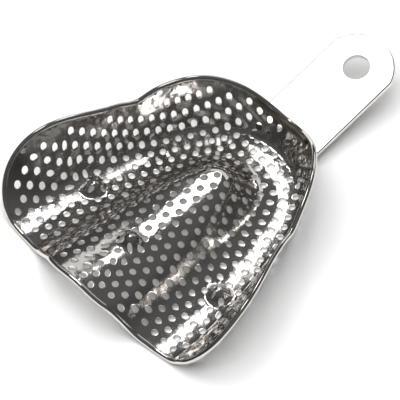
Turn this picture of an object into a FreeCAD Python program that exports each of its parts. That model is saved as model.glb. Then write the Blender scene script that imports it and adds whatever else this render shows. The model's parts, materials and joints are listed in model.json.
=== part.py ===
import FreeCAD, Part

# Perforated upper impression tray: a pressed sheet-metal tray with a wire rim and a brazed-on flat handle.
# Frame: +Z up with the impression side up, -Y towards the handle, X across the arch. The origin is at the
# centre of the whole object's footprint, on the surface that it lies on. Millimetres.

import math
import os

import Sketcher
from FreeCAD import Base

Vector = FreeCAD.Vector
SKETCH_ORIGIN = -1
SKETCH_Y_AXIS = -2

# Every size that can be set by itself: alias, value, meaning.
SIZES = [
    ("sheet_thickness", 0.55, "sheet metal of the tray"),
    ("perforation_diameter", 1.55, "punched hole in the flat sheet"),
    ("perforation_pitch", 3.0, "centre to centre, staggered at 60 degrees"),
    ("perforation_margin", 0.3, "least metal between a hole and the sheet's edge"),
    ("rim_wire_diameter", 1.25, "round wire along the whole edge"),
    ("rim_wire_bite", 0.04, "depth to which the sheet's edge is let into the wire"),
    ("tray_half_width", 32.8, "middle plane to the widest rim"),
    ("front_reach", 32.5, "arch centre to the front rim"),
    ("rear_reach", 32.1, "arch centre to the rear border"),
    ("flange_rise", 14.4, "trough floor to the highest rim"),
    ("frenum_dip", 1.3, "depth of the notch for each cheek fold"),
    ("frenum_spread_deg", 6.5, "angular half width of that notch"),
    ("trough_half_width", 3.6, "flat part of the trough, each side of its centre line"),
    ("trough_hollow", 0.45, "how far the trough floor dishes"),
    ("trough_tail_lift", 0.45, "how far the trough's open ends rise"),
    ("trough_tail_run", 18.0, "length over which they rise"),
    ("trough_front_run", 4.8, "front rim to the trough's outer foot"),
    ("arch_radius", 15.5, "trough centre line round the front"),
    ("arch_turn_deg", 72.0, "how far that radius goes round each side"),
    ("leg_radius", 140.0, "trough centre line along each side"),
    ("palate_height", 6.6, "palate above the trough floor"),
    ("palate_crown", 3.0, "palate's fall from its middle to its shoulders"),
    ("palate_rear_rise", 1.8, "how much higher the palate is at the rear border"),
    ("palate_rise_start", 6.0, "arch centre to where the palate starts to rise, towards the rear"),
    ("palate_wall_run", 9.5, "plan width of the slope from trough to palate"),
    ("stop_radius", 2.9, "pressed dome that spaces the tray from the gum"),
    ("stop_height", 2.2, "height of that dome"),
    ("side_stop_forward", 8.3, "arch centre to the side stops, towards the rear"),
    ("palate_stop_forward", 15.5, "arch centre to the palate stop, towards the rear"),
    ("handle_width", 17.5, "flat handle strip"),
    ("handle_thickness", 1.3, "flat handle strip"),
    ("handle_hole_diameter", 6.35, "hanging hole"),
    ("handle_hole_ahead", 21.1, "front rim to the hanging hole"),
    ("handle_hole_height", 7.0, "handle's top at the hanging hole, above the trough floor"),
    ("handle_tip_reach", 8.4, "hanging hole to the rounded tip"),
    ("handle_tip_bulge", 0.45, "radius of the rounded tip, over half the handle's width"),
    ("handle_rise_deg", 12.5, "slope of the handle"),
    ("handle_root_gap", 0.2, "plan gap between the handle's cut-back root and the trough's foot"),
    ("handle_edge_round", 0.3, "rounded edges of the strip"),
    ("braze_radius", 1.3, "fillet of braze where the handle meets the tray"),
    ("rim_braze_radius", 0.75, "run of braze under the rim inside the front"),
    ("rim_braze_turn_deg", 17.0, "how far it runs to each side, about the arch centre"),
]

# The rim, seen from above and counted from the front: shares of the half width, of the front reach (negative)
# or rear reach (positive), and of the flange's rise.
RIM_STATIONS = [
    (0.000, -1.000, 0.390),
    (0.310, -0.892, 0.757),
    (0.576, -0.622, 1.000),
    (0.738, -0.277, 0.861),
    (0.854, 0.048, 0.896),
    (0.954, 0.299, 0.930),
    (1.000, 0.530, 0.806),
    (0.963, 0.741, 0.417),
    (0.854, 0.837, 0.111),
    (0.689, 0.874, 0.075),
    (0.412, 0.922, 0.000),
    (0.250, 0.984, 0.000),
    (0.000, 1.000, 0.000),
]
FRENUM_STATION = 3

# How the sheet is drawn out where it is steep: 0 is not at all, 1 is no draw-in at the edge.
DRAW_SHARE = 0.75
FLANGE_FOOT_ROUND = 0.16
SHOULDER_SHARE = 0.8
FLANGE_LEAST_RUN = 2.5
POLE_SPACING = 1.25
RAY_STEP = 0.4
RIM_POINTS = 120
RIM_SPANS = 8
BRAZE_POINTS = 9
BRAZE_SPANS = 1
RIM_BRAZE_INSET_SHARE = 1 / 3
NEAR_BEARING_DEG = 4
HALVINGS = 30
VOLUME_TOLERANCE = 0.01
SEWING_TOLERANCE = 1e-3


def fill_sheet(doc):
    sheet = doc.addObject("Spreadsheet::Sheet", "Sizes")
    for row, (alias, value, meaning) in enumerate(SIZES, start=1):
        sheet.set("A%d" % row, alias)
        sheet.set("B%d" % row, str(value))
        sheet.set("C%d" % row, meaning)
        sheet.setAlias("B%d" % row, alias)
    doc.recompute()
    return sheet


doc = FreeCAD.newDocument("impression_tray")
sheet = fill_sheet(doc)
size = {alias: float(sheet.get(alias)) for alias, value, meaning in SIZES}


# --- the shape of the pressed tray --------------------

def station_point(station):
    across, along, rise = station
    reach = size["front_reach"] if along < 0 else size["rear_reach"]
    return (across * size["tray_half_width"], along * reach, rise * size["flange_rise"])


def bearing(x, y):
    """Angle round the arch centre, from the front (-Y) towards +X."""
    return math.degrees(math.atan2(x, -y))


def make_rim_law():
    """Distance of the rim from the arch centre and its rise, as one smooth closed law of the bearing."""
    half = [station_point(station) for station in RIM_STATIONS]
    right = [(bearing(x, y), math.hypot(x, y), rise) for x, y, rise in half]
    left = [(-angle, reach, rise) for angle, reach, rise in right[1:-1]]
    once = sorted(left + right)
    turns = [(angle + turn, reach, rise) for turn in (-360, 0, 360) for angle, reach, rise in once]
    law = Part.BSplineCurve()
    law.interpolate(Points=[Vector(reach, rise, 0) for angle, reach, rise in turns],
                    Parameters=[angle for angle, reach, rise in turns])
    return law


rim_law = make_rim_law()
frenum_bearing = bearing(*station_point(RIM_STATIONS[FRENUM_STATION])[:2])

arch_y = -(size["front_reach"] - size["trough_front_run"] - size["trough_half_width"] - size["arch_radius"])
arch_turn = math.radians(size["arch_turn_deg"])
leg_back = size["leg_radius"] - size["arch_radius"]
leg_x = -leg_back * math.sin(arch_turn)
leg_y = arch_y + leg_back * math.cos(arch_turn)


def rim_reach(angle):
    return rim_law.value(angle).x


def rim_rise(angle):
    dip = size["frenum_dip"] * math.exp(-((abs(angle) - frenum_bearing) / size["frenum_spread_deg"]) ** 2)
    return max(rim_law.value(angle).y - dip, 0.0)


def plan_point(angle, reach):
    return reach * math.sin(math.radians(angle)), -reach * math.cos(math.radians(angle))


def trough_distance(x, y):
    """Plan distance from the trough's centre line, positive towards the flange."""
    x = abs(x)
    if math.atan2(x, arch_y - y) <= arch_turn:
        return math.hypot(x, y - arch_y) - size["arch_radius"]
    return math.hypot(x - leg_x, y - leg_y) - size["leg_radius"]


def smooth_step(share):
    share = min(max(share, 0.0), 1.0)
    return share * share * (3 - 2 * share)


def side_stop_x():
    """The side stops stand on the trough's centre line."""
    forward = size["side_stop_forward"] - leg_y
    return leg_x + math.sqrt(size["leg_radius"] ** 2 - forward ** 2)


STOPS = [
    (side_stop_x(), size["side_stop_forward"]),
    (-side_stop_x(), size["side_stop_forward"]),
    (0.0, size["palate_stop_forward"]),
]


def stop_height(x, y):
    """Rise of the pressed domes."""
    for stop_x, stop_y in STOPS:
        share = math.hypot(x - stop_x, y - stop_y) / size["stop_radius"]
        if share < 1:
            return size["stop_height"] * (1 - share ** 3) ** 2
    return 0.0


def surface_height(x, y, run, rise):
    """Height of the impression side over the trough floor; run and rise are the flange's on this ray."""
    distance = trough_distance(x, y)
    hollow = size["trough_hollow"] * (1 - math.exp(-(distance / size["trough_half_width"]) ** 2))
    climb = smooth_step((-distance - size["trough_half_width"]) / size["palate_wall_run"])
    shoulder = size["arch_radius"] * SHOULDER_SHARE
    rearward = max((y - size["palate_rise_start"]) / (size["rear_reach"] - size["palate_rise_start"]), 0.0)
    palate = (size["palate_height"] - size["palate_crown"] * (x / shoulder) ** 2
              + size["palate_rear_rise"] * rearward ** 2)
    up = (distance - size["trough_half_width"]) / run
    flange = 0.0
    if up > 0:
        full = math.hypot(1, FLANGE_FOOT_ROUND) - FLANGE_FOOT_ROUND
        flange = rise * (math.hypot(up, FLANGE_FOOT_ROUND) - FLANGE_FOOT_ROUND) / full
    tail = size["trough_tail_lift"] * smooth_step((y - size["rear_reach"]) / size["trough_tail_run"] + 1)
    return hollow + climb * palate + (1 - climb) * tail + flange + stop_height(x, y)


def flange_on_ray(angle):
    """Plan run and rise of the flange where the ray meets the rim."""
    edge = trough_distance(*plan_point(angle, rim_reach(angle)))
    return max(edge - size["trough_half_width"], FLANGE_LEAST_RUN), rim_rise(angle)


def walk_ray(angle, flat_reach=None, plan_reach=None):
    """Follows one ray out from the arch centre until it has used up that much flat sheet, or reached that
    plan distance. Gives the plan reach, the height and the flat reach there."""
    run, rise = flange_on_ray(angle)
    ray_x, ray_y = plan_point(angle, 1.0)
    reach, flat = 0.0, 0.0
    height = surface_height(0.0, 0.0, run, rise)
    while True:
        ahead = reach + RAY_STEP
        height_ahead = surface_height(ray_x * ahead, ray_y * ahead, run, rise)
        slope = (height_ahead - height) / RAY_STEP
        used = RAY_STEP * (1 + slope * slope) ** (DRAW_SHARE / 2)
        if flat_reach is not None and flat + used >= flat_reach:
            share = (flat_reach - flat) / used
            break
        if plan_reach is not None and ahead >= plan_reach:
            share = (plan_reach - reach) / RAY_STEP
            break
        reach, flat, height = ahead, flat + used, height_ahead
    reach += share * RAY_STEP
    height = surface_height(ray_x * reach, ray_y * reach, run, rise)
    return reach, height, flat + share * used


def pressed_point(flat_x, flat_y):
    """Where a point of the flat sheet ends up on the impression side."""
    angle = bearing(flat_x, flat_y)
    reach, height, flat = walk_ray(angle, flat_reach=math.hypot(flat_x, flat_y))
    x, y = plan_point(angle, reach)
    return Vector(x, y, height)


def flat_rim():
    """The trimming line on the flat sheet, through the rim wire's centre."""
    line = []
    for step in range(RIM_POINTS):
        angle = -180 + 360.0 * step / RIM_POINTS
        reach, height, flat = walk_ray(angle, plan_reach=rim_reach(angle))
        line.append(plan_point(angle, flat))
    return line


def clamped_knots(low, high):
    """Evenly spaced cubic knots, and the place of each pole."""
    spans = math.ceil((high - low) / POLE_SPACING)
    knots = [low + POLE_SPACING * index for index in range(spans + 1)]
    padded = [knots[0]] * 3 + knots + [knots[-1]] * 3
    places = [sum(padded[index + 1:index + 4]) / 3 for index in range(spans + 3)]
    return knots, [4] + [1] * (spans - 1) + [4], places


def make_skins(line):
    """The impression side and, one sheet thickness below it, the outer side."""
    spare = 2 * POLE_SPACING
    across = [x for x, y in line]
    along = [y for x, y in line]
    u_knots, u_mults, u_places = clamped_knots(min(across) - spare, max(across) + spare)
    v_knots, v_mults, v_places = clamped_knots(min(along) - spare, max(along) + spare)
    poles = [[pressed_point(u, v) for v in v_places] for u in u_places]
    upper = Part.BSplineSurface()
    upper.buildFromPolesMultsKnots(poles, u_mults, v_mults, u_knots, v_knots, False, False, 3, 3)
    thickness = size["sheet_thickness"]
    below = [[pole - upward(upper, u, v) * thickness for pole, v in zip(column, v_places)]
             for column, u in zip(poles, u_places)]
    lower = Part.BSplineSurface()
    lower.buildFromPolesMultsKnots(below, u_mults, v_mults, u_knots, v_knots, False, False, 3, 3)
    return upper, lower


def upward(skin, u, v):
    normal = skin.normal(u, v)
    return normal if normal.z > 0 else normal * -1


# --- solids --------------------

def inward(line, index):
    """Unit direction into the sheet, square to the trimming line."""
    before = line[index - 1]
    after = line[(index + 1) % len(line)]
    along_x, along_y = after[0] - before[0], after[1] - before[1]
    length = math.hypot(along_x, along_y)
    return -along_y / length, along_x / length


def inset_line(line, depth, skin):
    """The trimming line moved in by a depth that is true on the pressed sheet."""
    inset = []
    probe = depth / 2
    for index, (x, y) in enumerate(line):
        in_x, in_y = inward(line, index)
        moved = skin.value(x + in_x * probe, y + in_y * probe) - skin.value(x, y)
        flat_depth = depth * probe / moved.Length
        inset.append((x + in_x * flat_depth, y + in_y * flat_depth))
    return inset


def closed_curve(line):
    curve = Part.Geom2d.BSplineCurve2d()
    curve.interpolate([Base.Vector2d(x, y) for x, y in line], PeriodicFlag=True)
    return curve


def sheet_between(skins, edge_curve, holes):
    """A solid between the two skins: its edge and its holes are walls square to the sheet."""
    edges = [[curve.toShape(skin) for curve in [edge_curve] + holes] for skin in skins]
    faces = []
    for skin, around in zip(skins, edges):
        face = Part.Face(skin, Part.Wire([around[0]]))
        punched = []
        for edge in around[1:]:
            wire = Part.Wire([edge])
            wire.reverse()
            punched.append(wire)
        if punched:
            face.cutHoles(punched)
        faces.append(face)
    walls = [Part.makeRuledSurface(above, below) for above, below in zip(*edges)]
    shell = Part.makeCompound(faces + walls)
    shell.sewShape(SEWING_TOLERANCE)
    return outward_solid(shell.Shells[0])


def perforations(line):
    """Hole centres on the flat sheet: rows across the tray, every second row half a pitch over."""
    pitch = size["perforation_pitch"]
    row_step = pitch * math.sqrt(3) / 2
    clear = size["perforation_diameter"] / 2 + size["perforation_margin"]
    across = math.ceil(max(abs(x) for x, y in line) / pitch)
    along = math.ceil(max(abs(y) for x, y in line) / row_step)
    centres = []
    for row in range(-along, along + 1):
        shift = 0.5 if row % 2 else 0.0
        for place in range(-across - 1, across + 1):
            centre = ((place + shift) * pitch, row * row_step)
            if room_inside(line, *centre) >= clear:
                centres.append(centre)
    return centres


def room_inside(line, x, y):
    """Distance from a point of the flat sheet to the sheet's edge; negative outside it."""
    nearest = min(range(len(line)), key=lambda index: math.hypot(line[index][0] - x, line[index][1] - y))
    in_x, in_y = inward(line, nearest)
    return (x - line[nearest][0]) * in_x + (y - line[nearest][1]) * in_y


def swept_span(span, radius):
    """The skin and the two end faces of a bar along a stretch of line. A sweep that comes out with the wrong
    volume is made again in two halves."""
    start = span.value(span.FirstParameter)
    ahead = span.tangent(span.FirstParameter)[0]
    section = Part.Wire([Part.Circle(start, ahead, radius).toShape()])
    sweep = Part.BRepOffsetAPI.MakePipeShell(Part.Wire([span.toShape()]))
    sweep.setFrenetMode(False)
    sweep.add(section)
    sweep.build()
    sweep.makeSolid()
    bar = sweep.shape()
    expected = math.pi * radius ** 2 * span.length()
    if abs(bar.Volume - expected) < VOLUME_TOLERANCE * expected:
        faces = sorted(bar.Faces, key=lambda face: face.Area)
        return faces[-1:], faces[:-1]
    middle = (span.FirstParameter + span.LastParameter) / 2
    first, second = span.copy(), span.copy()
    first.segment(span.FirstParameter, middle)
    second.segment(middle, span.LastParameter)
    first_skins, first_caps = swept_span(first, radius)
    second_skins, second_caps = swept_span(second, radius)
    return first_skins + second_skins, first_caps + second_caps


def round_bar(path, radius, spans):
    """One solid round bar along a smooth line. It is swept in spans, and their skins are sewn together."""
    low = path.FirstParameter
    step = (path.LastParameter - low) / spans
    skins = []
    caps = []
    for index in range(spans):
        span = path.copy()
        span.segment(low + index * step, low + (index + 1) * step)
        span_skins, span_caps = swept_span(span, radius)
        skins.extend(span_skins)
        caps.extend(span_caps)
    if not path.isClosed():
        ends = (path.value(path.FirstParameter), path.value(path.LastParameter))
        skins.extend(cap for cap in caps if min((cap.CenterOfMass - end).Length for end in ends) < radius)
    shell = Part.makeCompound(skins)
    shell.sewShape(SEWING_TOLERANCE)
    return outward_solid(shell.Shells[0])


def outward_solid(shell):
    solid = Part.makeSolid(shell)
    if solid.Volume < 0:
        solid.reverse()
    return solid


def smooth_line(points, closed):
    path = Part.BSplineCurve()
    path.interpolate(points, PeriodicFlag=closed)
    return path


def middle_point(skins, x, y, rise=0.0):
    """A point half way through the sheet, or that much above it, square to the sheet."""
    upper, lower = skins
    normal = upward(upper, x, y)
    return (upper.value(x, y) + lower.value(x, y)) * 0.5 + normal * rise


def largest_solid(shape):
    return max(shape.Solids, key=lambda solid: solid.Volume)


# --- the flat handle --------------------

handle_slope = math.radians(size["handle_rise_deg"])
handle_hole_reach = size["front_reach"] + size["handle_hole_ahead"]
handle_tip_radius = size["handle_width"] / 2 + size["handle_tip_bulge"]


def handle_top_height(y):
    """Height of the plane of the handle's top face."""
    return size["handle_hole_height"] - (y + handle_hole_reach) * math.tan(handle_slope)


def plane_of(body, role):
    return next(feature for feature in body.Origin.OriginFeatures if feature.Role == role)


def handle_placement():
    """The strip's own origin is the tip of its top face, with +Y towards the tray."""
    tip_y = -handle_hole_reach - size["handle_tip_reach"] * math.cos(handle_slope)
    return FreeCAD.Placement(Vector(0, tip_y, handle_top_height(tip_y)),
                             FreeCAD.Rotation(Vector(1, 0, 0), -size["handle_rise_deg"]))


def bind(feature, path, expression):
    feature.setExpression(path, expression)


def draw_handle_outline(sketch):
    """Straight sides, a rounded tip at the origin, a hollowed root round the trough, and the hanging hole."""
    half = size["handle_width"] / 2
    tip_turn = math.acos(half / handle_tip_radius)
    tip_circle = Part.Circle(Vector(0, handle_tip_radius, 0), Vector(0, 0, 1), handle_tip_radius)
    side = handle_tip_radius * (1 - math.sin(tip_turn))
    root_radius = size["arch_radius"] + size["trough_half_width"] + size["handle_root_gap"]
    root_turn = math.acos(half / root_radius)
    root_y = size["handle_tip_reach"] + (handle_hole_reach + arch_y) / math.cos(handle_slope)
    root_circle = Part.Circle(Vector(0, root_y, 0), Vector(0, 0, 1), root_radius)
    root_side = root_y - root_radius * math.sin(root_turn)
    hole_centre = Vector(0, size["handle_tip_reach"], 0)
    hole_radius = size["handle_hole_diameter"] / 2
    sketch.addGeometry(Part.LineSegment(Vector(-half, root_side, 0), Vector(-half, side, 0)), False)
    sketch.addGeometry(Part.ArcOfCircle(tip_circle, math.pi + tip_turn, 2 * math.pi - tip_turn), False)
    sketch.addGeometry(Part.LineSegment(Vector(half, side, 0), Vector(half, root_side, 0)), False)
    sketch.addGeometry(Part.ArcOfCircle(root_circle, math.pi + root_turn, 2 * math.pi - root_turn), False)
    sketch.addGeometry(Part.Circle(hole_centre, Vector(0, 0, 1), hole_radius), False)
    left, tip, right, root, hole = range(5)
    for first, first_end, second, second_end in ((left, 2, tip, 1), (tip, 2, right, 1), (right, 2, root, 2),
                                                 (root, 1, left, 1)):
        sketch.addConstraint(Sketcher.Constraint("Coincident", first, first_end, second, second_end))
    for line_index in (left, right):
        sketch.addConstraint(Sketcher.Constraint("Vertical", line_index))
    for centred in (tip, hole):
        sketch.addConstraint(Sketcher.Constraint("PointOnObject", centred, 3, SKETCH_Y_AXIS))
    sketch.addConstraint(Sketcher.Constraint("PointOnObject", SKETCH_ORIGIN, 1, tip))
    sketch.addConstraint(Sketcher.Constraint("Symmetric", left, 1, right, 2, SKETCH_Y_AXIS))
    root_place = ("Sizes.handle_tip_reach + (Sizes.handle_hole_ahead + Sizes.trough_front_run"
                  " + Sizes.trough_half_width + Sizes.arch_radius) / cos(Sizes.handle_rise_deg * 1 deg)")
    root_reach = "Sizes.arch_radius + Sizes.trough_half_width + Sizes.handle_root_gap"
    bound = [
        ("DistanceX", (left, 1, right, 2), 2 * half, "Sizes.handle_width"),
        ("Radius", (tip,), handle_tip_radius, "Sizes.handle_width / 2 + Sizes.handle_tip_bulge"),
        ("Radius", (root,), root_radius, root_reach),
        ("Diameter", (hole,), 2 * hole_radius, "Sizes.handle_hole_diameter"),
        ("DistanceY", (SKETCH_ORIGIN, 1, hole, 3), hole_centre.y, "Sizes.handle_tip_reach"),
        ("DistanceY", (SKETCH_ORIGIN, 1, root, 3), root_y, root_place),
    ]
    for kind, places, value, expression in bound:
        index = sketch.addConstraint(Sketcher.Constraint(kind, *places, value))
        bind(sketch, "Constraints[%d]" % index, expression)


def make_handle_strip():
    """The strip before its root is cut to the tray."""
    body = doc.addObject("PartDesign::Body", "HandleStrip")
    body.Label = "handle_strip"
    sketch = body.newObject("Sketcher::SketchObject", "HandleOutline")
    sketch.AttachmentSupport = [(plane_of(body, "XY_Plane"), "")]
    sketch.MapMode = "FlatFace"
    draw_handle_outline(sketch)
    pad = body.newObject("PartDesign::Pad", "HandlePad")
    pad.Profile = sketch
    pad.Reversed = True
    bind(pad, "Length", "Sizes.handle_thickness")
    doc.recompute()
    rounding = body.newObject("PartDesign::Fillet", "HandleEdges")
    rounding.Base = (pad, outline_edges(pad.Shape))
    bind(rounding, "Radius", "Sizes.handle_edge_round")
    body.Placement = handle_placement()
    doc.recompute()
    return body


def outline_edges(shape):
    """The long edges of both faces: flat edges that aren't the hole's."""
    names = []
    for index, edge in enumerate(shape.Edges, start=1):
        flat = edge.BoundBox.ZLength < 1e-6
        if flat and not edge.isClosed():
            names.append("Edge%d" % index)
    return names


# --- the pieces --------------------

def add_piece(name, shape):
    piece = doc.addObject("Part::Feature", name)
    piece.Label = name
    piece.Shape = shape
    piece.Placement = FreeCAD.Placement()
    return piece


def make_tray_shell(skins, edge):
    centres = perforations(edge)
    radius = size["perforation_diameter"] / 2
    holes = [Part.Geom2d.Circle2d(Base.Vector2d(x, y), radius) for x, y in centres]
    print(len(holes), "perforations")
    return sheet_between(skins, closed_curve(edge), holes)


def make_rim_wire(skins, line):
    path = smooth_line([middle_point(skins, x, y) for x, y in line], True)
    return round_bar(path, size["rim_wire_diameter"] / 2, RIM_SPANS)


def inside_of_tray(skins, edge):
    """Everything above the outer skin: what the handle and its braze are cut back from."""
    lower = skins[1]
    face = Part.Face(lower, Part.Wire([closed_curve(edge).toShape(lower)]))
    return face.extrude(Vector(0, 0, size["flange_rise"] * 2))


def junction_point(lower, angle, rim_flat):
    """Where the handle's top plane meets the tray's outer skin, on one bearing."""
    near, far = rim_flat / 2, rim_flat
    for _ in range(HALVINGS):
        middle = (near + far) / 2
        point = lower.value(*plan_point(angle, middle))
        if point.z < handle_top_height(point.y):
            near = middle
        else:
            far = middle
    return lower.value(*plan_point(angle, near))


def make_handle_braze(skins, edge, inside):
    """The fillet of braze on top of the handle, along the flange."""
    lower = skins[1]
    widest = math.degrees(math.asin(size["handle_width"] / 2 / size["front_reach"]))
    points = []
    for step in range(BRAZE_POINTS):
        angle = widest * (2.0 * step / (BRAZE_POINTS - 1) - 1)
        rim_flat = min(math.hypot(x, y) for x, y in edge if abs(bearing(x, y) - angle) < NEAR_BEARING_DEG)
        points.append(junction_point(lower, angle, rim_flat))
    bar = round_bar(smooth_line(points, False), size["braze_radius"], BRAZE_SPANS)
    reach = handle_hole_reach
    under_handle = Part.makeBox(2 * reach, 2 * reach, reach, Vector(-reach, -reach / 2, -reach))
    under_handle.Placement = handle_placement()
    return largest_solid(bar.cut(under_handle).cut(inside))


def make_rim_braze(skins, edge, inside, rim_wire):
    """The run of braze between the rim wire and the impression side, at the front."""
    upper = skins[0]
    points = []
    for index, (x, y) in enumerate(edge):
        if abs(bearing(x, y)) <= size["rim_braze_turn_deg"]:
            in_x, in_y = inward(edge, index)
            step_in = size["rim_braze_radius"] * RIM_BRAZE_INSET_SHARE
            points.append(upper.value(x + in_x * step_in, y + in_y * step_in))
    bar = round_bar(smooth_line(points, False), size["rim_braze_radius"], BRAZE_SPANS)
    plain_sheet = sheet_between(skins, closed_curve(edge), [])
    return largest_solid(bar.common(inside).cut(plain_sheet).cut(rim_wire))


def footprint_shift(shapes):
    """Moves the centre of the whole footprint, at its lowest point, to the origin."""
    boxes = [shape.optimalBoundingBox() for shape in shapes]
    rear = max(box.YMax for box in boxes)
    tip = min(box.YMin for box in boxes)
    return Vector(0, -(rear + tip) / 2, -min(box.ZMin for box in boxes))


def check(pieces):
    for feature in doc.Objects:
        for state in ("Invalid", "Error"):
            if state in feature.State:
                raise RuntimeError("%s is %s" % (feature.Label, state))
    for piece in pieces:
        if piece.Shape.isNull() or not piece.Shape.isValid() or len(piece.Shape.Solids) != 1:
            raise RuntimeError("%s is not one valid solid" % piece.Label)


def main():
    line = flat_rim()
    skins = make_skins(line)
    edge = inset_line(line, size["rim_wire_diameter"] / 2 - size["rim_wire_bite"], skins[0])
    inside = inside_of_tray(skins, edge)
    shell = add_piece("tray_shell", make_tray_shell(skins, edge))
    rim = add_piece("rim_wire", make_rim_wire(skins, line))
    cutter = add_piece("inside_of_tray", inside)
    strip = make_handle_strip()
    handle = doc.addObject("Part::Cut", "handle")
    handle.Label = "handle"
    handle.Base = strip
    handle.Tool = cutter
    doc.recompute()
    handle_braze = add_piece("handle_braze", make_handle_braze(skins, edge, inside))
    rim_braze = add_piece("rim_braze", make_rim_braze(skins, edge, inside, rim.Shape))
    pieces = [shell, rim, handle, handle_braze, rim_braze]
    shift = footprint_shift([shell.Shape, rim.Shape, handle.Shape])
    for piece in pieces:
        piece.Placement = FreeCAD.Placement(shift, FreeCAD.Rotation())
    doc.recompute()
    check(pieces)
    os.makedirs("parts", exist_ok=True)
    for piece in pieces:
        piece.Shape.exportStep("parts/%s.step" % piece.Label)
        box = piece.Shape.optimalBoundingBox()
        print("%-14s %9.2f mm3  x %.2f..%.2f  y %.2f..%.2f  z %.2f..%.2f" % (
            piece.Label, piece.Shape.Volume, box.XMin, box.XMax, box.YMin, box.YMax, box.ZMin, box.ZMax))
    hole = shift + Vector(0, -handle_hole_reach, size["handle_hole_height"])
    print("shift", shift, "hanging hole, top face", hole)


main()
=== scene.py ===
# %% [markdown]
# # A perforated impression tray
# A dentist fills this tray with paste and presses it over the upper teeth. It is one sheet of nickel-plated
# brass, punched full of holes so that the paste keys into it, then pressed into a horseshoe trough round a
# raised palate. A round wire is soldered along its edge, and a flat handle is brazed on at the front. The
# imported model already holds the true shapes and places, so it is loaded first and never moved. Every new
# piece below takes its place from it.

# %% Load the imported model
import json
import math

import bpy
import numpy as np
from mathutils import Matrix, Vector


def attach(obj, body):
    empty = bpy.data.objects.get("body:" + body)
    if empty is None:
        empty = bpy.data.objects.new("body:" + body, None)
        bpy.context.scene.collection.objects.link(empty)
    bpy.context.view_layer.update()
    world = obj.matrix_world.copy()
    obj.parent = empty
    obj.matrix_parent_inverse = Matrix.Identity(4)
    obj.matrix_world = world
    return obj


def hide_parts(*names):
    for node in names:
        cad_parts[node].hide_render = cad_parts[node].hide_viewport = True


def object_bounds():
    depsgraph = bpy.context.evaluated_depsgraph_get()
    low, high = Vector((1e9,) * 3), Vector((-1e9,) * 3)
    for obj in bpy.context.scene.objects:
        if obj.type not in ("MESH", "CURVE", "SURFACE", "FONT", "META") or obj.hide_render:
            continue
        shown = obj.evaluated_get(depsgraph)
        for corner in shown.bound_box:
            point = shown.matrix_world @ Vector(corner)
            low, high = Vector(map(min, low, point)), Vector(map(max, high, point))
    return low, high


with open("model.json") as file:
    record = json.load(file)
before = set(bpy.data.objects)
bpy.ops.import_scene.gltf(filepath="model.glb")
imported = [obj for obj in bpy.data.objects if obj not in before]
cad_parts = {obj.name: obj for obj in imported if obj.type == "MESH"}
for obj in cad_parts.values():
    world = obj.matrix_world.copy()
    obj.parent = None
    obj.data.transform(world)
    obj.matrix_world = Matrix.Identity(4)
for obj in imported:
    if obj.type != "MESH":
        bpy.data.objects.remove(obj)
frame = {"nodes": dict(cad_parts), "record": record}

cad_low, cad_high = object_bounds()
print("CAD box in mm:", [round(1000 * (b - a), 1) for a, b in zip(cad_low, cad_high)])

# %% [markdown]
# ## The sizes of the tray
# All lengths are in millimetres and are turned to metres once, at the end of each piece, by MM. The shape
# is worked out from the arch centre, the middle of the horseshoe's round front. The hanging hole is the one
# point whose place the record states, so the arch centre is found by stepping back from it.

# %% Driving sizes
MM = 0.001
SHEET_THICKNESS = 0.55
HOLE_DIAMETER = 1.55
HOLE_PITCH = 3.0
HOLE_MARGIN = 0.3
WIRE_DIAMETER = 1.25
WIRE_BITE = 0.04

HALF_WIDTH = 32.8
FRONT_REACH = 32.5
REAR_REACH = 32.1
FLANGE_RISE = 14.4
FRENUM_DIP = 1.3
FRENUM_SPREAD = 6.5
TROUGH_HALF_WIDTH = 3.6
TROUGH_HOLLOW = 0.45
TROUGH_TAIL_LIFT = 0.45
TROUGH_TAIL_RUN = 18.0
TROUGH_FRONT_RUN = 4.8
ARCH_RADIUS = 15.5
ARCH_TURN = math.radians(72.0)
LEG_RADIUS = 140.0
PALATE_HEIGHT = 6.6
PALATE_CROWN = 3.0
PALATE_REAR_RISE = 1.8
PALATE_RISE_START = 6.0
PALATE_WALL_RUN = 9.5
STOP_RADIUS = 2.9
STOP_HEIGHT = 2.2
SIDE_STOP_Y = 8.3
PALATE_STOP_Y = 15.5

HANDLE_HOLE_AHEAD = 21.1
HANDLE_HOLE_REACH = FRONT_REACH + HANDLE_HOLE_AHEAD
HANDLE_HOLE_HEIGHT = 7.0

hole_mount = next(mount for mount in frame["record"]["mounts"] if mount["kind"] == "bore")
hole_middle = np.array(hole_mount["pos_m"]) / MM
hole_top = hole_middle + np.array(hole_mount["axis"]) * hole_mount["dims"]["length_mm"] / 2
ARCH_CENTRE = hole_top + np.array([0.0, HANDLE_HOLE_REACH, -HANDLE_HOLE_HEIGHT])
print("arch centre in mm:", ARCH_CENTRE.round(3))

# %% [markdown]
# ## The rim's course
# Seen from above, the rim is a smooth closed line that rises and falls: high beside the molars, low where
# the lip and the two cheek folds need room, and flat across the back. Thirteen stations on one side give
# it, each as a share of the tray's half width, of its reach and of its rise. A curve drawn by hand through
# them would do, but the pressed sheet has to know the rim in every direction, so a cubic is passed through
# the stations.

# %% Rim stations and the cubic through them
RIM_STATIONS = [
    (0.000, -1.000, 0.390),
    (0.310, -0.892, 0.757),
    (0.576, -0.622, 1.000),
    (0.738, -0.277, 0.861),
    (0.854, 0.048, 0.896),
    (0.954, 0.299, 0.930),
    (1.000, 0.530, 0.806),
    (0.963, 0.741, 0.417),
    (0.854, 0.837, 0.111),
    (0.689, 0.874, 0.075),
    (0.412, 0.922, 0.000),
    (0.250, 0.984, 0.000),
    (0.000, 1.000, 0.000),
]
FRENUM_STATION = 3
TURN = 2 * math.pi


def station_point(across, along, rise):
    reach = FRONT_REACH if along < 0 else REAR_REACH
    return across * HALF_WIDTH, along * reach, rise * FLANGE_RISE


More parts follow.
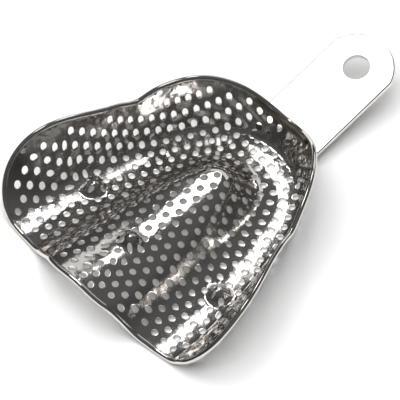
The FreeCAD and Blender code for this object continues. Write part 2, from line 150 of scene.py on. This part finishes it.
def cubic_through(places, values):
    """A function that runs smoothly through the values, with no bend at the first and the last place."""
    gap = np.diff(places)
    slope = np.diff(values) / gap
    count = len(places)
    bend = np.zeros(count)
    matrix = np.zeros((count - 2, count - 2))
    for row in range(count - 2):
        matrix[row, row] = 2 * (gap[row] + gap[row + 1])
        if row > 0:
            matrix[row, row - 1] = gap[row]
        if row < count - 3:
            matrix[row, row + 1] = gap[row + 1]
    bend[1:-1] = np.linalg.solve(matrix, 6 * np.diff(slope))

    def value(at):
        span = np.clip(np.searchsorted(places, at) - 1, 0, count - 2)
        width = gap[span]
        after = (at - places[span]) / width
        before = 1 - after
        curve = (before ** 3 - before) * bend[span] + (after ** 3 - after) * bend[span + 1]
        return before * values[span] + after * values[span + 1] + curve * width ** 2 / 6

    return value


def rim_laws():
    """The rim's reach and its rise, as functions of the bearing round the arch centre from the front."""
    half = np.array([station_point(*station) for station in RIM_STATIONS])
    angle = np.arctan2(half[:, 0], -half[:, 1])
    reach = np.hypot(half[:, 0], half[:, 1])
    angle = np.concatenate([-angle[:0:-1], angle[:-1]])
    reach = np.concatenate([reach[:0:-1], reach[:-1]])
    rise = np.concatenate([half[:0:-1, 2], half[:-1, 2]])
    turns = np.concatenate([angle + turn for turn in (-TURN, 0.0, TURN)])
    return cubic_through(turns, np.tile(reach, 3)), cubic_through(turns, np.tile(rise, 3))


rim_reach, rim_rise_law = rim_laws()
frenum_x, frenum_y = station_point(*RIM_STATIONS[FRENUM_STATION])[:2]
frenum_angle = math.atan2(frenum_x, -frenum_y)


def rim_rise(angle):
    notch = np.exp(-((np.abs(angle) - frenum_angle) / math.radians(FRENUM_SPREAD)) ** 2)
    return np.maximum(rim_rise_law(angle) - FRENUM_DIP * notch, 0.0)


print("rim reach, front and side in mm:", rim_reach(np.array([0.0, math.pi / 2])).round(2))

# %% [markdown]
# ## The pressed shape
# The press turns a flat punched blank into the tray. Its shape is simple to say: a horseshoe trough with a
# slightly dished floor, a wall that climbs inwards to the crowned palate, a flange that climbs outwards to
# the rim, and three small domes that space the tray from the gum. Sculpting or a subdivision cage could
# give the same shape, but then the holes would have to be cut afterwards and would stay round. In a real
# tray the sheet is drawn out after punching, so its holes stretch with it. So one function gives the height
# at any place, and a second walks outwards from the arch centre and finds where a point of the flat blank
# lands.

# %% Height of the pressed sheet
ARCH_Y = -(FRONT_REACH - TROUGH_FRONT_RUN - TROUGH_HALF_WIDTH - ARCH_RADIUS)
LEG_X = -(LEG_RADIUS - ARCH_RADIUS) * math.sin(ARCH_TURN)
LEG_Y = ARCH_Y + (LEG_RADIUS - ARCH_RADIUS) * math.cos(ARCH_TURN)
SHOULDER_SHARE = 0.8
SHOULDER = SHOULDER_SHARE * ARCH_RADIUS
FLANGE_FOOT_ROUND = 0.16
FLANGE_LEAST_RUN = 2.5

side_stop_x = LEG_X + math.sqrt(LEG_RADIUS ** 2 - (SIDE_STOP_Y - LEG_Y) ** 2)
STOPS = [(side_stop_x, SIDE_STOP_Y), (-side_stop_x, SIDE_STOP_Y), (0.0, PALATE_STOP_Y)]


def trough_distance(x, y):
    """Plan distance from the trough's centre line, positive towards the flange."""
    across = np.abs(x)
    on_arch = np.hypot(across, y - ARCH_Y) - ARCH_RADIUS
    on_leg = np.hypot(across - LEG_X, y - LEG_Y) - LEG_RADIUS
    return np.where(np.arctan2(across, ARCH_Y - y) <= ARCH_TURN, on_arch, on_leg)


def smooth_step(share):
    share = np.clip(share, 0.0, 1.0)
    return share * share * (3 - 2 * share)


def stop_domes(x, y):
    rise = np.zeros_like(x)
    for stop_x, stop_y in STOPS:
        share = np.minimum(np.hypot(x - stop_x, y - stop_y) / STOP_RADIUS, 1.0)
        rise += STOP_HEIGHT * (1 - share ** 3) ** 2
    return rise


def sheet_height(x, y, run, rise):
    """Height of the impression side; run and rise are the flange's in this direction."""
    distance = trough_distance(x, y)
    hollow = TROUGH_HOLLOW * (1 - np.exp(-(distance / TROUGH_HALF_WIDTH) ** 2))
    climb = smooth_step((-distance - TROUGH_HALF_WIDTH) / PALATE_WALL_RUN)
    rearward = np.maximum((y - PALATE_RISE_START) / (REAR_REACH - PALATE_RISE_START), 0.0)
    palate = PALATE_HEIGHT - PALATE_CROWN * (x / SHOULDER) ** 2 + PALATE_REAR_RISE * rearward ** 2
    out = np.maximum((distance - TROUGH_HALF_WIDTH) / run, 0.0)
    whole = math.hypot(1, FLANGE_FOOT_ROUND) - FLANGE_FOOT_ROUND
    flange = rise * (np.hypot(out, FLANGE_FOOT_ROUND) - FLANGE_FOOT_ROUND) / whole
    tail = TROUGH_TAIL_LIFT * smooth_step((y - REAR_REACH) / TROUGH_TAIL_RUN + 1)
    return hollow + climb * palate + (1 - climb) * tail + flange + stop_domes(x, y)


print("palate over trough floor in mm:", sheet_height(np.zeros(1), np.zeros(1), 1.0, 0.0).round(2))

# %% [markdown]
# A point's distance from the arch centre is used up as the walk climbs and falls, but not by the whole
# slope, because the press also draws the sheet in at its edge. DRAW_SHARE says how much of the slope
# counts.

# %% From the flat blank to the pressed sheet
DRAW_SHARE = 0.75
RAY_STEP = 0.4
PROBE = 0.2


def walk_rays(angle, goal, over_the_sheet):
    """Walks out from the arch centre until the goal is used up, measured over the flat blank or in plan.
    Gives the plan reach, the height and the length of flat blank there."""
    across, along = np.sin(angle), -np.cos(angle)
    edge = rim_reach(angle)
    run = np.maximum(trough_distance(edge * across, edge * along) - TROUGH_HALF_WIDTH, FLANGE_LEAST_RUN)
    rise = rim_rise(angle)
    start = np.zeros_like(angle)
    height = sheet_height(start, start, run, rise)
    flat = start.copy()
    plan_found = start.copy()
    flat_found = start.copy()
    waiting = np.ones(angle.shape, bool)
    reach = 0.0
    while waiting.any():
        ahead = reach + RAY_STEP
        height_ahead = sheet_height(across * ahead, along * ahead, run, rise)
        used = RAY_STEP * (1 + ((height_ahead - height) / RAY_STEP) ** 2) ** (DRAW_SHARE / 2)
        share = (goal - flat) / used if over_the_sheet else (goal - reach) / RAY_STEP
        arrived = waiting & (share <= 1)
        plan_found[arrived] = (reach + share * RAY_STEP)[arrived]
        flat_found[arrived] = (flat + share * used)[arrived]
        waiting &= ~arrived
        reach, flat, height = ahead, flat + used, height_ahead
    landed = sheet_height(across * plan_found, along * plan_found, run, rise)
    return plan_found, landed, flat_found


def press(flat_points):
    """Where the points of the flat blank land on the impression side, in mm from the arch centre."""
    x, y = flat_points[:, 0], flat_points[:, 1]
    angle = np.arctan2(x, -y)
    reach, height = walk_rays(angle, np.hypot(x, y), True)[:2]
    return np.column_stack([reach * np.sin(angle), -reach * np.cos(angle), height])


def press_with_normal(flat_points):
    """The pressed points, and the direction square to the sheet there, upwards."""
    here = press(flat_points)
    ahead = press(flat_points + np.array([PROBE, 0.0])) - here
    beside = press(flat_points + np.array([0.0, PROBE])) - here
    normal = np.cross(ahead, beside)
    return here, normal / np.linalg.norm(normal, axis=1)[:, None]


def flat_edge(angle):
    """The rim's reach on the flat blank."""
    return walk_rays(angle, rim_reach(angle), False)[2]


print("flat blank's reach at the front in mm:", flat_edge(np.zeros(1)).round(2))

# %% [markdown]
# ## Small helpers for modelling
# Blender's operators act on everything that is selected, and the loaded nodes are selected. So each piece
# starts by deselecting all. A helper also moves points in bulk, because a press moves every point at once.

# %% Helpers for selection and points
def alone(piece):
    """Only this piece is selected and active."""
    bpy.ops.object.select_all(action="DESELECT")
    piece.select_set(True)
    bpy.context.view_layer.objects.active = piece


def points_of(piece):
    flat = np.empty(len(piece.data.vertices) * 3)
    piece.data.vertices.foreach_get("co", flat)
    return flat.reshape(-1, 3)


def put_points(piece, points):
    piece.data.vertices.foreach_set("co", points.ravel())
    piece.data.update()


def apply_modifier(piece, kind, **settings):
    alone(piece)
    modifier = piece.modifiers.new(kind.title(), kind)
    for name, value in settings.items():
        setattr(modifier, name, value)
    bpy.ops.object.modifier_apply(modifier=modifier.name)


def delete_selected(kind):
    bpy.ops.object.mode_set(mode="EDIT")
    bpy.ops.mesh.delete(type=kind)
    bpy.ops.object.mode_set(mode="OBJECT")


def select_faces(piece, chosen):
    """Selects these faces, and nothing else of the piece."""
    alone(piece)
    bpy.ops.object.mode_set(mode="EDIT")
    bpy.ops.mesh.select_all(action="DESELECT")
    bpy.ops.mesh.select_mode(type="FACE")
    bpy.ops.object.mode_set(mode="OBJECT")
    piece.data.polygons.foreach_set("select", chosen)


def triangle_count(piece):
    return sum(len(face.vertices) - 2 for face in piece.data.polygons)


# %% [markdown]
# ## The punched blank
# The blank is flat sheet with rows of round holes, every second row half a pitch over. Cutting some five
# hundred holes with booleans is slow and leaves long thin faces that crease when the sheet is bent. So one
# cell of the pattern is modelled instead, a six-sided tile with its disc in the middle, and two array
# modifiers lay it out. Where the real blank is punched, the disc is deleted. Near the edge the disc stays,
# as no hole is cut there.

# %% One tile: a disc, a ring round it, and a six-sided outer edge
TILE_SIDES = 18
RING_SHARE = 1.25
OUTER_POINTS_SHARE = 0.99


def add_tile():
    """A disc the size of a hole, grown outwards by two rings; the outer ring is pulled to a hexagon."""
    bpy.ops.object.select_all(action="DESELECT")
    radius = HOLE_DIAMETER / 2
    bpy.ops.mesh.primitive_circle_add(vertices=TILE_SIDES, radius=radius, fill_type="TRIFAN")
    tile = bpy.context.object
    bpy.ops.object.mode_set(mode="EDIT")
    bpy.ops.mesh.select_all(action="SELECT")
    bpy.ops.mesh.region_to_loop()
    corner = HOLE_PITCH / math.sqrt(3)
    for growth in (RING_SHARE, corner / (radius * RING_SHARE)):
        bpy.ops.mesh.extrude_edges_move()
        bpy.ops.transform.resize(value=(growth, growth, 1))
    bpy.ops.object.mode_set(mode="OBJECT")
    points = points_of(tile)
    outer = np.hypot(points[:, 0], points[:, 1]) > corner * OUTER_POINTS_SHARE
    angle = np.arctan2(points[outer, 1], points[outer, 0])
    sixth = math.pi / 3
    off_side = angle - np.round(angle / sixth) * sixth
    reach = HOLE_PITCH / 2 / np.cos(off_side)
    points[outer, 0] = reach * np.cos(angle)
    points[outer, 1] = reach * np.sin(angle)
    put_points(tile, points)
    return tile


tile = add_tile()
print("one tile:", len(tile.data.vertices), "points,", triangle_count(tile), "triangles")

# %% [markdown]
# Two tiles, one shifted by half a pitch and a row, make a pair that repeats straight across and straight
# along.

# %% The tile laid out over the blank
EDGE_STEPS = 720
TILE_MERGE = 0.01

row_step = HOLE_PITCH * math.sqrt(3) / 2
edge_angle = np.linspace(-math.pi, math.pi, EDGE_STEPS, endpoint=False)
edge_reach = flat_edge(edge_angle)
wire_line = np.column_stack([edge_reach * np.sin(edge_angle), -edge_reach * np.cos(edge_angle)])
columns = math.ceil(np.abs(wire_line[:, 0]).max() / HOLE_PITCH) + 1
row_pairs = math.ceil(np.abs(wire_line[:, 1]).max() / (2 * row_step)) + 1

alone(tile)
bpy.ops.object.mode_set(mode="EDIT")
bpy.ops.mesh.select_all(action="SELECT")
bpy.ops.mesh.duplicate_move(TRANSFORM_OT_translate={"value": (HOLE_PITCH / 2, row_step, 0)})
bpy.ops.mesh.select_all(action="SELECT")
bpy.ops.transform.translate(value=(-columns * HOLE_PITCH, -2 * row_pairs * row_step, 0))
bpy.ops.object.mode_set(mode="OBJECT")
blank = tile
blank.name = blank.data.name = "tray_sheet"
apply_modifier(blank, "ARRAY", count=2 * columns + 1, use_relative_offset=False, use_constant_offset=True,
               constant_offset_displace=(HOLE_PITCH, 0, 0))
apply_modifier(blank, "ARRAY", count=2 * row_pairs + 1, use_relative_offset=False, use_constant_offset=True,
               constant_offset_displace=(0, 2 * row_step, 0))
bpy.ops.object.mode_set(mode="EDIT")
bpy.ops.mesh.select_all(action="SELECT")
bpy.ops.mesh.remove_doubles(threshold=TILE_MERGE)
bpy.ops.object.mode_set(mode="OBJECT")
print("blank before trimming:", len(blank.data.vertices), "points")

# %% [markdown]
# ## Trimming and punching
# The press tool trims the sheet along the line that will carry the wire. A boolean with a thick outline
# would also do it. Here the points beyond the line are moved in to the line, and the faces that lay wholly
# beyond it are deleted, so the edge is clean and keeps its even faces. Then the discs with enough metal
# round them go.

# %% Trim to the rim, then punch the discs out
INTO_WIRE = 0.35
POINTS_AT_A_TIME = 2000
DISC_SHARE = 0.98


def unit_inward(line):
    """At each point of the closed line, the unit direction into the sheet."""
    along = np.roll(line, -1, axis=0) - np.roll(line, 1, axis=0)
    along /= np.linalg.norm(along, axis=1)[:, None]
    return np.column_stack([-along[:, 1], along[:, 0]])


def nearest_on(line, points):
    """For each point the index of the line's nearest point."""
    found = np.empty(len(points), int)
    for first in range(0, len(points), POINTS_AT_A_TIME):
        some = points[first:first + POINTS_AT_A_TIME]
        away = ((some[:, None, :] - line[None, :, :]) ** 2).sum(axis=2)
        found[first:first + POINTS_AT_A_TIME] = away.argmin(axis=1)
    return found


def room_inside(line, points):
    """How far inside the line each point lies, negative beyond it, and the index of the nearest point."""
    near = nearest_on(line, points)
    return ((points - line[near]) * unit_inward(line)[near]).sum(axis=1), near


sheet_edge = wire_line + unit_inward(wire_line) * INTO_WIRE
points = points_of(blank)
room, near = room_inside(sheet_edge, points[:, :2])
beyond = room < 0
along_edge = unit_inward(sheet_edge)[near]
points[beyond, :2] -= room[beyond, None] * along_edge[beyond]
put_points(blank, points)
outside = np.array([all(beyond[i] for i in face.vertices) for face in blank.data.polygons])
select_faces(blank, outside)
delete_selected("FACE")

hole_radius = HOLE_DIAMETER / 2
wall_line = wire_line + unit_inward(wire_line) * (WIRE_DIAMETER / 2 - WIRE_BITE)
middles = np.array([face.center for face in blank.data.polygons])[:, :2]
row = np.round(middles[:, 1] / row_step)
shift = np.where(row % 2 == 0, 0.0, 0.5)
column = np.round(middles[:, 0] / HOLE_PITCH - shift)
cell = np.column_stack([(column + shift) * HOLE_PITCH, row * row_step])
in_disc = np.hypot(*(middles - cell).T) < hole_radius * DISC_SHARE
clear, near = room_inside(wall_line, cell)
punched = in_disc & (clear >= hole_radius + HOLE_MARGIN)
select_faces(blank, punched)
delete_selected("FACE")
hole_count = len(np.unique(cell[punched], axis=0))
print(hole_count, "holes,", triangle_count(blank), "triangles in one skin")

# %% [markdown]
# ## Pressing the sheet
# Now every point goes where the press puts it. The sheet gets its thickness on the outer side only, so that
# the impression side stays true, and all its edges are bevelled, because a punch rolls the edge of a hole
# over and it is that rounded edge that catches the light. An open shell has no true inside, and Blender
# takes the impression side for it, so that side is asked for when the faces are turned to look up.

# %% Press, thicken and round the hole edges
EDGE_ROUND = 0.11
EDGE_SEGMENTS = 2
SHARP_ANGLE = math.radians(60)
MERGE_DISTANCE = 1e-7


def to_row_frame(points):
    return (points + ARCH_CENTRE) * MM


def settle(piece):
    """Merges what lies together and turns all faces outwards."""
    alone(piece)
    bpy.ops.object.mode_set(mode="EDIT")
    bpy.ops.mesh.select_all(action="SELECT")
    bpy.ops.mesh.remove_doubles(threshold=MERGE_DISTANCE)
    bpy.ops.mesh.normals_make_consistent(inside=False)
    bpy.ops.object.mode_set(mode="OBJECT")


put_points(blank, to_row_frame(press(points_of(blank)[:, :2])))
alone(blank)
bpy.ops.object.mode_set(mode="EDIT")
bpy.ops.mesh.select_all(action="SELECT")
bpy.ops.mesh.delete_loose()
bpy.ops.mesh.select_all(action="SELECT")
bpy.ops.mesh.normals_make_consistent(inside=True)
bpy.ops.object.mode_set(mode="OBJECT")
apply_modifier(blank, "SOLIDIFY", thickness=SHEET_THICKNESS * MM, offset=-1.0)
apply_modifier(blank, "BEVEL", width=EDGE_ROUND * MM, segments=EDGE_SEGMENTS, limit_method="ANGLE",
               angle_limit=SHARP_ANGLE, use_clamp_overlap=True)
alone(blank)
bpy.ops.object.shade_smooth()
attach(blank, "root")
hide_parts("tray_shell")
print("pressed sheet:", triangle_count(blank), "triangles")

# %% [markdown]
# ## The wire rim
# A round wire is soldered along the sheet's edge, so that no sharp edge meets the gum. It is one closed bar
# of even thickness, so a closed curve with a round bevel gives it directly and with even faces, which a
# smooth, bright bar needs. The curve runs through the middle of the sheet's edge, found by pressing the
# trimming line.

# %% The rim wire
WIRE_POINTS = 360
WIRE_ROUNDNESS = 6


def add_round_bar(name, points, radius, closed):
    """A round bar of even thickness through these points, as a mesh."""
    line = bpy.data.curves.new(name, "CURVE")
    line.dimensions = "3D"
    line.bevel_depth = radius
    line.bevel_resolution = WIRE_ROUNDNESS
    spline = line.splines.new("POLY")
    spline.points.add(len(points) - 1)
    for spot, point in zip(spline.points, points):
        spot.co = (*point, 1.0)
    spline.use_cyclic_u = closed
    bar = bpy.data.objects.new(name, line)
    bpy.context.scene.collection.objects.link(bar)
    alone(bar)
    bpy.ops.object.convert(target="MESH")
    bpy.ops.object.shade_smooth()
    return bpy.context.object


every = EDGE_STEPS // WIRE_POINTS
pressed, square = press_with_normal(wire_line[::every])
wire_path = to_row_frame(pressed - square * SHEET_THICKNESS / 2)
rim_wire = add_round_bar("rim_bead", wire_path, WIRE_DIAMETER / 2 * MM, True)
settle(rim_wire)
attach(rim_wire, "root")
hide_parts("rim_wire")
print("rim wire:", triangle_count(rim_wire), "triangles")

# %% [markdown]
# ## The run of braze
# Where the handle meets the flange, silver braze has flowed into the corner and frozen in a soft fillet.
# The model's own fillets have the right place and size but ruled, machined faces. Each is copied, merged,
# rebuilt from small cubes by a remesh, smoothed, and pushed in and out by a little noise, as molten metal
# sets.

# %% Braze fillets
BRAZE_GRAIN = 0.12
SMOOTH_FACTOR = 0.5
SMOOTH_PASSES = 6
LUMP_SIZE = 0.8
LUMP_RISE = 0.1


def add_braze(name, node):
    copy = frame["nodes"][node].data.copy()
    fillet = bpy.data.objects.new(name, copy)
    bpy.context.scene.collection.objects.link(fillet)
    copy.name = name
    settle(fillet)
    apply_modifier(fillet, "REMESH", mode="VOXEL", voxel_size=BRAZE_GRAIN * MM)
    apply_modifier(fillet, "SMOOTH", factor=SMOOTH_FACTOR, iterations=SMOOTH_PASSES)
    lumps = bpy.data.textures.new(name + "_lumps", "CLOUDS")
    lumps.noise_scale = LUMP_SIZE * MM
    apply_modifier(fillet, "DISPLACE", texture=lumps, strength=LUMP_RISE * MM, mid_level=0.5)
    alone(fillet)
    bpy.ops.object.shade_smooth()
    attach(fillet, "root")
    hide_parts(node)
    print(name, triangle_count(fillet), "triangles")
    return fillet


handle_fillet = add_braze("handle_fillet", "handle_braze")
rim_fillet = add_braze("rim_fillet", "rim_braze")

# %% [markdown]
# ## Finishes
# Each finish is one metal and one way of working it. One function turns a hex colour to the linear light
# that Blender computes with, and one adds a node with its settings and its links.

# %% Colour and node helpers
def linear(hex_colour):
    """An sRGB hex colour as linear red, green, blue and full opacity."""
    parts = [int(hex_colour[i:i + 2], 16) / 255 for i in (1, 3, 5)]
    return [c / 12.92 if c <= 0.04045 else ((c + 0.055) / 1.055) ** 2.4 for c in parts] + [1.0]


def add_node(tree, kind, settings=None, **inputs):
    """Adds a node. An input is a value, or a (node, output) pair to link from."""
    node = tree.nodes.new(kind)
    for name, value in (settings or {}).items():
        setattr(node, name, value)
    for name, value in inputs.items():
        socket = node.inputs[name.replace("_", " ")]
        if isinstance(value, tuple) and isinstance(value[0], bpy.types.Node):
            tree.links.new(value[0].outputs[value[1]], socket)
        else:
            socket.default_value = value
    return node


def add_ramp(tree, source, low, high, low_value, high_value):
    """Turns a range of one value into a range of another."""
    return add_node(tree, "ShaderNodeMapRange", Value=source, From_Min=low, From_Max=high,
                    To_Min=low_value, To_Max=high_value)


def new_finish(name):
    finish = bpy.data.materials.new(name)
    finish.use_nodes = True
    tree = finish.node_tree
    shader = tree.nodes["Principled BSDF"]
    shader.inputs["Metallic"].default_value = 1.0
    place = add_node(tree, "ShaderNodeTexCoord")
    return finish, tree, shader, place


def give_finish(piece, finish):
    piece.data.materials.clear()
    piece.data.materials.append(finish)


# %% [markdown]
# ### Bright nickel plate on pressed sheet
# Plated after pressing, so it is close to a mirror. Three things keep it from being one: the pressed sheet
# ripples a little, at about the hole pitch; handling and sterilising leave a faint haze in patches; and
# the plate itself has a fine grain. The ripple is what breaks the reflections into streaks, so it matters
# most.

# %% Bright nickel plate
RIPPLE_SIZE = 3.0
RIPPLE_DETAIL = 1.5
HAZE_SIZE = 9.0
HAZE_DETAIL = 3.0
HAZE_LOW = 0.35
HAZE_HIGH = 0.7
GRAIN_SIZE = 0.35
GRAIN_DETAIL = 2.0


def per_metre(size_in_mm):
    """A noise texture's scale for features of this size."""
    return 1 / (size_in_mm * MM)


def add_noise(tree, place, size_in_mm, detail):
    """Noise with features of this size, fixed to the piece."""
    return add_node(tree, "ShaderNodeTexNoise", Vector=(place, "Object"), Scale=per_metre(size_in_mm),
                    Detail=detail)


def bright_nickel(name, light_hex, dark_hex, low_rough, high_rough, ripple_depth, grain_depth):
    finish, tree, shader, place = new_finish(name)
    haze = add_noise(tree, place, HAZE_SIZE, HAZE_DETAIL)
    ripple = add_noise(tree, place, RIPPLE_SIZE, RIPPLE_DETAIL)
    grain = add_noise(tree, place, GRAIN_SIZE, GRAIN_DETAIL)
    rough = add_ramp(tree, (haze, "Fac"), HAZE_LOW, HAZE_HIGH, low_rough, high_rough)
    tint = add_node(tree, "ShaderNodeMix", {"data_type": "RGBA"})
    tree.links.new(haze.outputs["Fac"], tint.inputs[0])
    tint.inputs[6].default_value = linear(light_hex)
    tint.inputs[7].default_value = linear(dark_hex)
    rippled = add_node(tree, "ShaderNodeBump", Height=(ripple, "Fac"), Distance=ripple_depth * MM,
                       Strength=1.0)
    bumped = add_node(tree, "ShaderNodeBump", Height=(grain, "Fac"), Distance=grain_depth * MM, Strength=1.0,
                      Normal=(rippled, "Normal"))
    tree.links.new(tint.outputs[2], shader.inputs["Base Color"])
    tree.links.new(rough.outputs["Result"], shader.inputs["Roughness"])
    tree.links.new(bumped.outputs["Normal"], shader.inputs["Normal"])
    return finish


pressed_nickel = bright_nickel("bright_nickel_plate_pressed", light_hex="#E4E1DE", dark_hex="#CFCBC7",
                               low_rough=0.06, high_rough=0.14, ripple_depth=0.06, grain_depth=0.003)
polished_nickel = bright_nickel("bright_nickel_plate_polished_wire", light_hex="#E6E3DF", dark_hex="#D6D2CD",
                                low_rough=0.05, high_rough=0.12, ripple_depth=0.03, grain_depth=0.002)
handle_nickel = bright_nickel("bright_nickel_plate_flat_strip", light_hex="#EDEBE9", dark_hex="#E2DFDC",
                              low_rough=0.14, high_rough=0.24, ripple_depth=0.02, grain_depth=0.004)
give_finish(blank, pressed_nickel)
give_finish(rim_wire, polished_nickel)
frame["nodes"]["handle"].material_slots[0].material = handle_nickel

# %% [markdown]
# ### Silver braze
# Braze isn't plated as brightly as the sheet: it is greyer, slightly warm, and its surface is dull and
# lumpy.

# %% Silver braze
BRAZE_DETAIL = 5.0
BRAZE_BUMP = 0.15
LUMP_LOW = 0.3
LUMP_HIGH = 0.7
BRAZE_LOW_ROUGH = 0.3
BRAZE_HIGH_ROUGH = 0.55


def silver_braze():
    finish, tree, shader, place = new_finish("silver_braze_as_flowed")
    lumps = add_noise(tree, place, LUMP_SIZE, BRAZE_DETAIL)
    stain = add_node(tree, "ShaderNodeMix", {"data_type": "RGBA"})
    tree.links.new(lumps.outputs["Fac"], stain.inputs[0])
    stain.inputs[6].default_value = linear("#B9B1A3")
    stain.inputs[7].default_value = linear("#857C70")
    rough = add_ramp(tree, (lumps, "Fac"), LUMP_LOW, LUMP_HIGH, BRAZE_LOW_ROUGH, BRAZE_HIGH_ROUGH)
    bump = add_node(tree, "ShaderNodeBump", Height=(lumps, "Fac"), Distance=BRAZE_BUMP * MM, Strength=1.0)
    tree.links.new(stain.outputs[2], shader.inputs["Base Color"])
    tree.links.new(rough.outputs["Result"], shader.inputs["Roughness"])
    tree.links.new(bump.outputs["Normal"], shader.inputs["Normal"])
    return finish


braze = silver_braze()
give_finish(handle_fillet, braze)
give_finish(rim_fillet, braze)

# %% [markdown]
# ## The table, the lights and the camera
# Bright metal shows what stands round it, so its look is made by the lights. The tray lies on a pale table.
# The surroundings are nearly black at the horizon, so that the steep flanges go dark, and a dim grey
# overhead, which gives the palate its tone. Each of three panels stands where the camera sees one surface
# mirror it: the trough's flat floor, the palate where it rises to the rear, and the handle. The table has a
# large panel of its own, which the metal doesn't show.

# %% Table
FLOOR_HALF = 3.0

bpy.ops.mesh.primitive_plane_add(size=2 * FLOOR_HALF, location=(0, 0, 0))
floor = bpy.context.object
floor.name = "table"
paper = bpy.data.materials.new("white_matt_table")
paper.use_nodes = True
paper_shader = paper.node_tree.nodes["Principled BSDF"]
paper_shader.inputs["Base Color"].default_value = linear("#F4F4F4")
paper_shader.inputs["Roughness"].default_value = 0.9
give_finish(floor, paper)

# %% Surroundings and soft lights
SKY_TOP = 0.8
TROUGH_MIRRORS = (0.424, -0.407, 0.809)
HANDLE_MIRRORS = (0.424, -0.027, 0.905)
PALATE_REAR_MIRRORS = (0.40, -0.80, 0.50)
NEARLY_OVERHEAD = (0.1, 0.1, 1.0)
object_middle = Vector((cad_low + cad_high) / 2)


def add_soft_light(name, toward, distance, width, height, radiance):
    """A soft panel that faces the object from this direction; radiance is how bright it looks."""
    panel = bpy.data.lights.new(name, "AREA")
    panel.shape = "RECTANGLE"
    panel.size = width
    panel.size_y = height
    panel.energy = radiance * math.pi * width * height
    lamp = bpy.data.objects.new(name, panel)
    bpy.context.scene.collection.objects.link(lamp)
    away = Vector(toward).normalized()
    lamp.location = object_middle + away * distance
    lamp.rotation_euler = away.to_track_quat("Z", "Y").to_euler()
    return lamp


def add_surroundings(horizon, overhead):
    """A sky that changes evenly from the horizon's brightness to the overhead one at SKY_TOP."""
    world = bpy.data.worlds.new("studio")
    world.use_nodes = True
    tree = world.node_tree
    place = add_node(tree, "ShaderNodeTexCoord")
    split = add_node(tree, "ShaderNodeSeparateXYZ", Vector=(place, "Generated"))
    level = add_ramp(tree, (split, "Z"), 0.0, SKY_TOP, horizon, overhead)
    tree.links.new(level.outputs["Result"], tree.nodes["Background"].inputs["Strength"])
    tree.nodes["Background"].inputs["Color"].default_value = (1, 1, 1, 1)
    bpy.context.scene.world = world


add_surroundings(horizon=0.03, overhead=0.11)
add_soft_light("trough_panel", TROUGH_MIRRORS, distance=1.0, width=0.19, height=0.22, radiance=4.0)
add_soft_light("palate_panel", PALATE_REAR_MIRRORS, distance=1.0, width=0.9, height=0.5, radiance=0.8)
add_soft_light("handle_panel", HANDLE_MIRRORS, distance=1.0, width=0.26, height=0.26, radiance=3.5)
table_light = add_soft_light("table_panel", NEARLY_OVERHEAD, distance=1.5, width=2.0, height=2.0,
                             radiance=2.9)
table_light.visible_glossy = False

# %% [markdown]
# The camera looks down on the impression side from behind the -X corner, through a long lens from a metre
# away, so that near and far edges come out at nearly the same scale. It aims at a point near the arch
# centre.

# %% Camera
VIEW_AZIMUTH = math.radians(-133.8)
VIEW_ELEVATION = math.radians(54.04)
VIEW_DISTANCE = 0.9746
LENS = 398.0
CLIP_END = 20.0
AIM_OFFSET = np.array([0.5, -5.6, 1.7])
LOOK_AT = Vector((ARCH_CENTRE + AIM_OFFSET) * MM)

camera_data = bpy.data.cameras.new("camera")
camera_data.lens = LENS
camera_data.clip_end = CLIP_END
camera = bpy.data.objects.new("camera", camera_data)
bpy.context.scene.collection.objects.link(camera)
level = math.cos(VIEW_ELEVATION)
back = Vector((math.sin(VIEW_AZIMUTH) * level, -math.cos(VIEW_AZIMUTH) * level, math.sin(VIEW_ELEVATION)))
camera.location = LOOK_AT + back * VIEW_DISTANCE
camera.rotation_euler = back.to_track_quat("Z", "Y").to_euler()
bpy.context.scene.camera = camera
bpy.context.scene.view_settings.view_transform = "Standard"
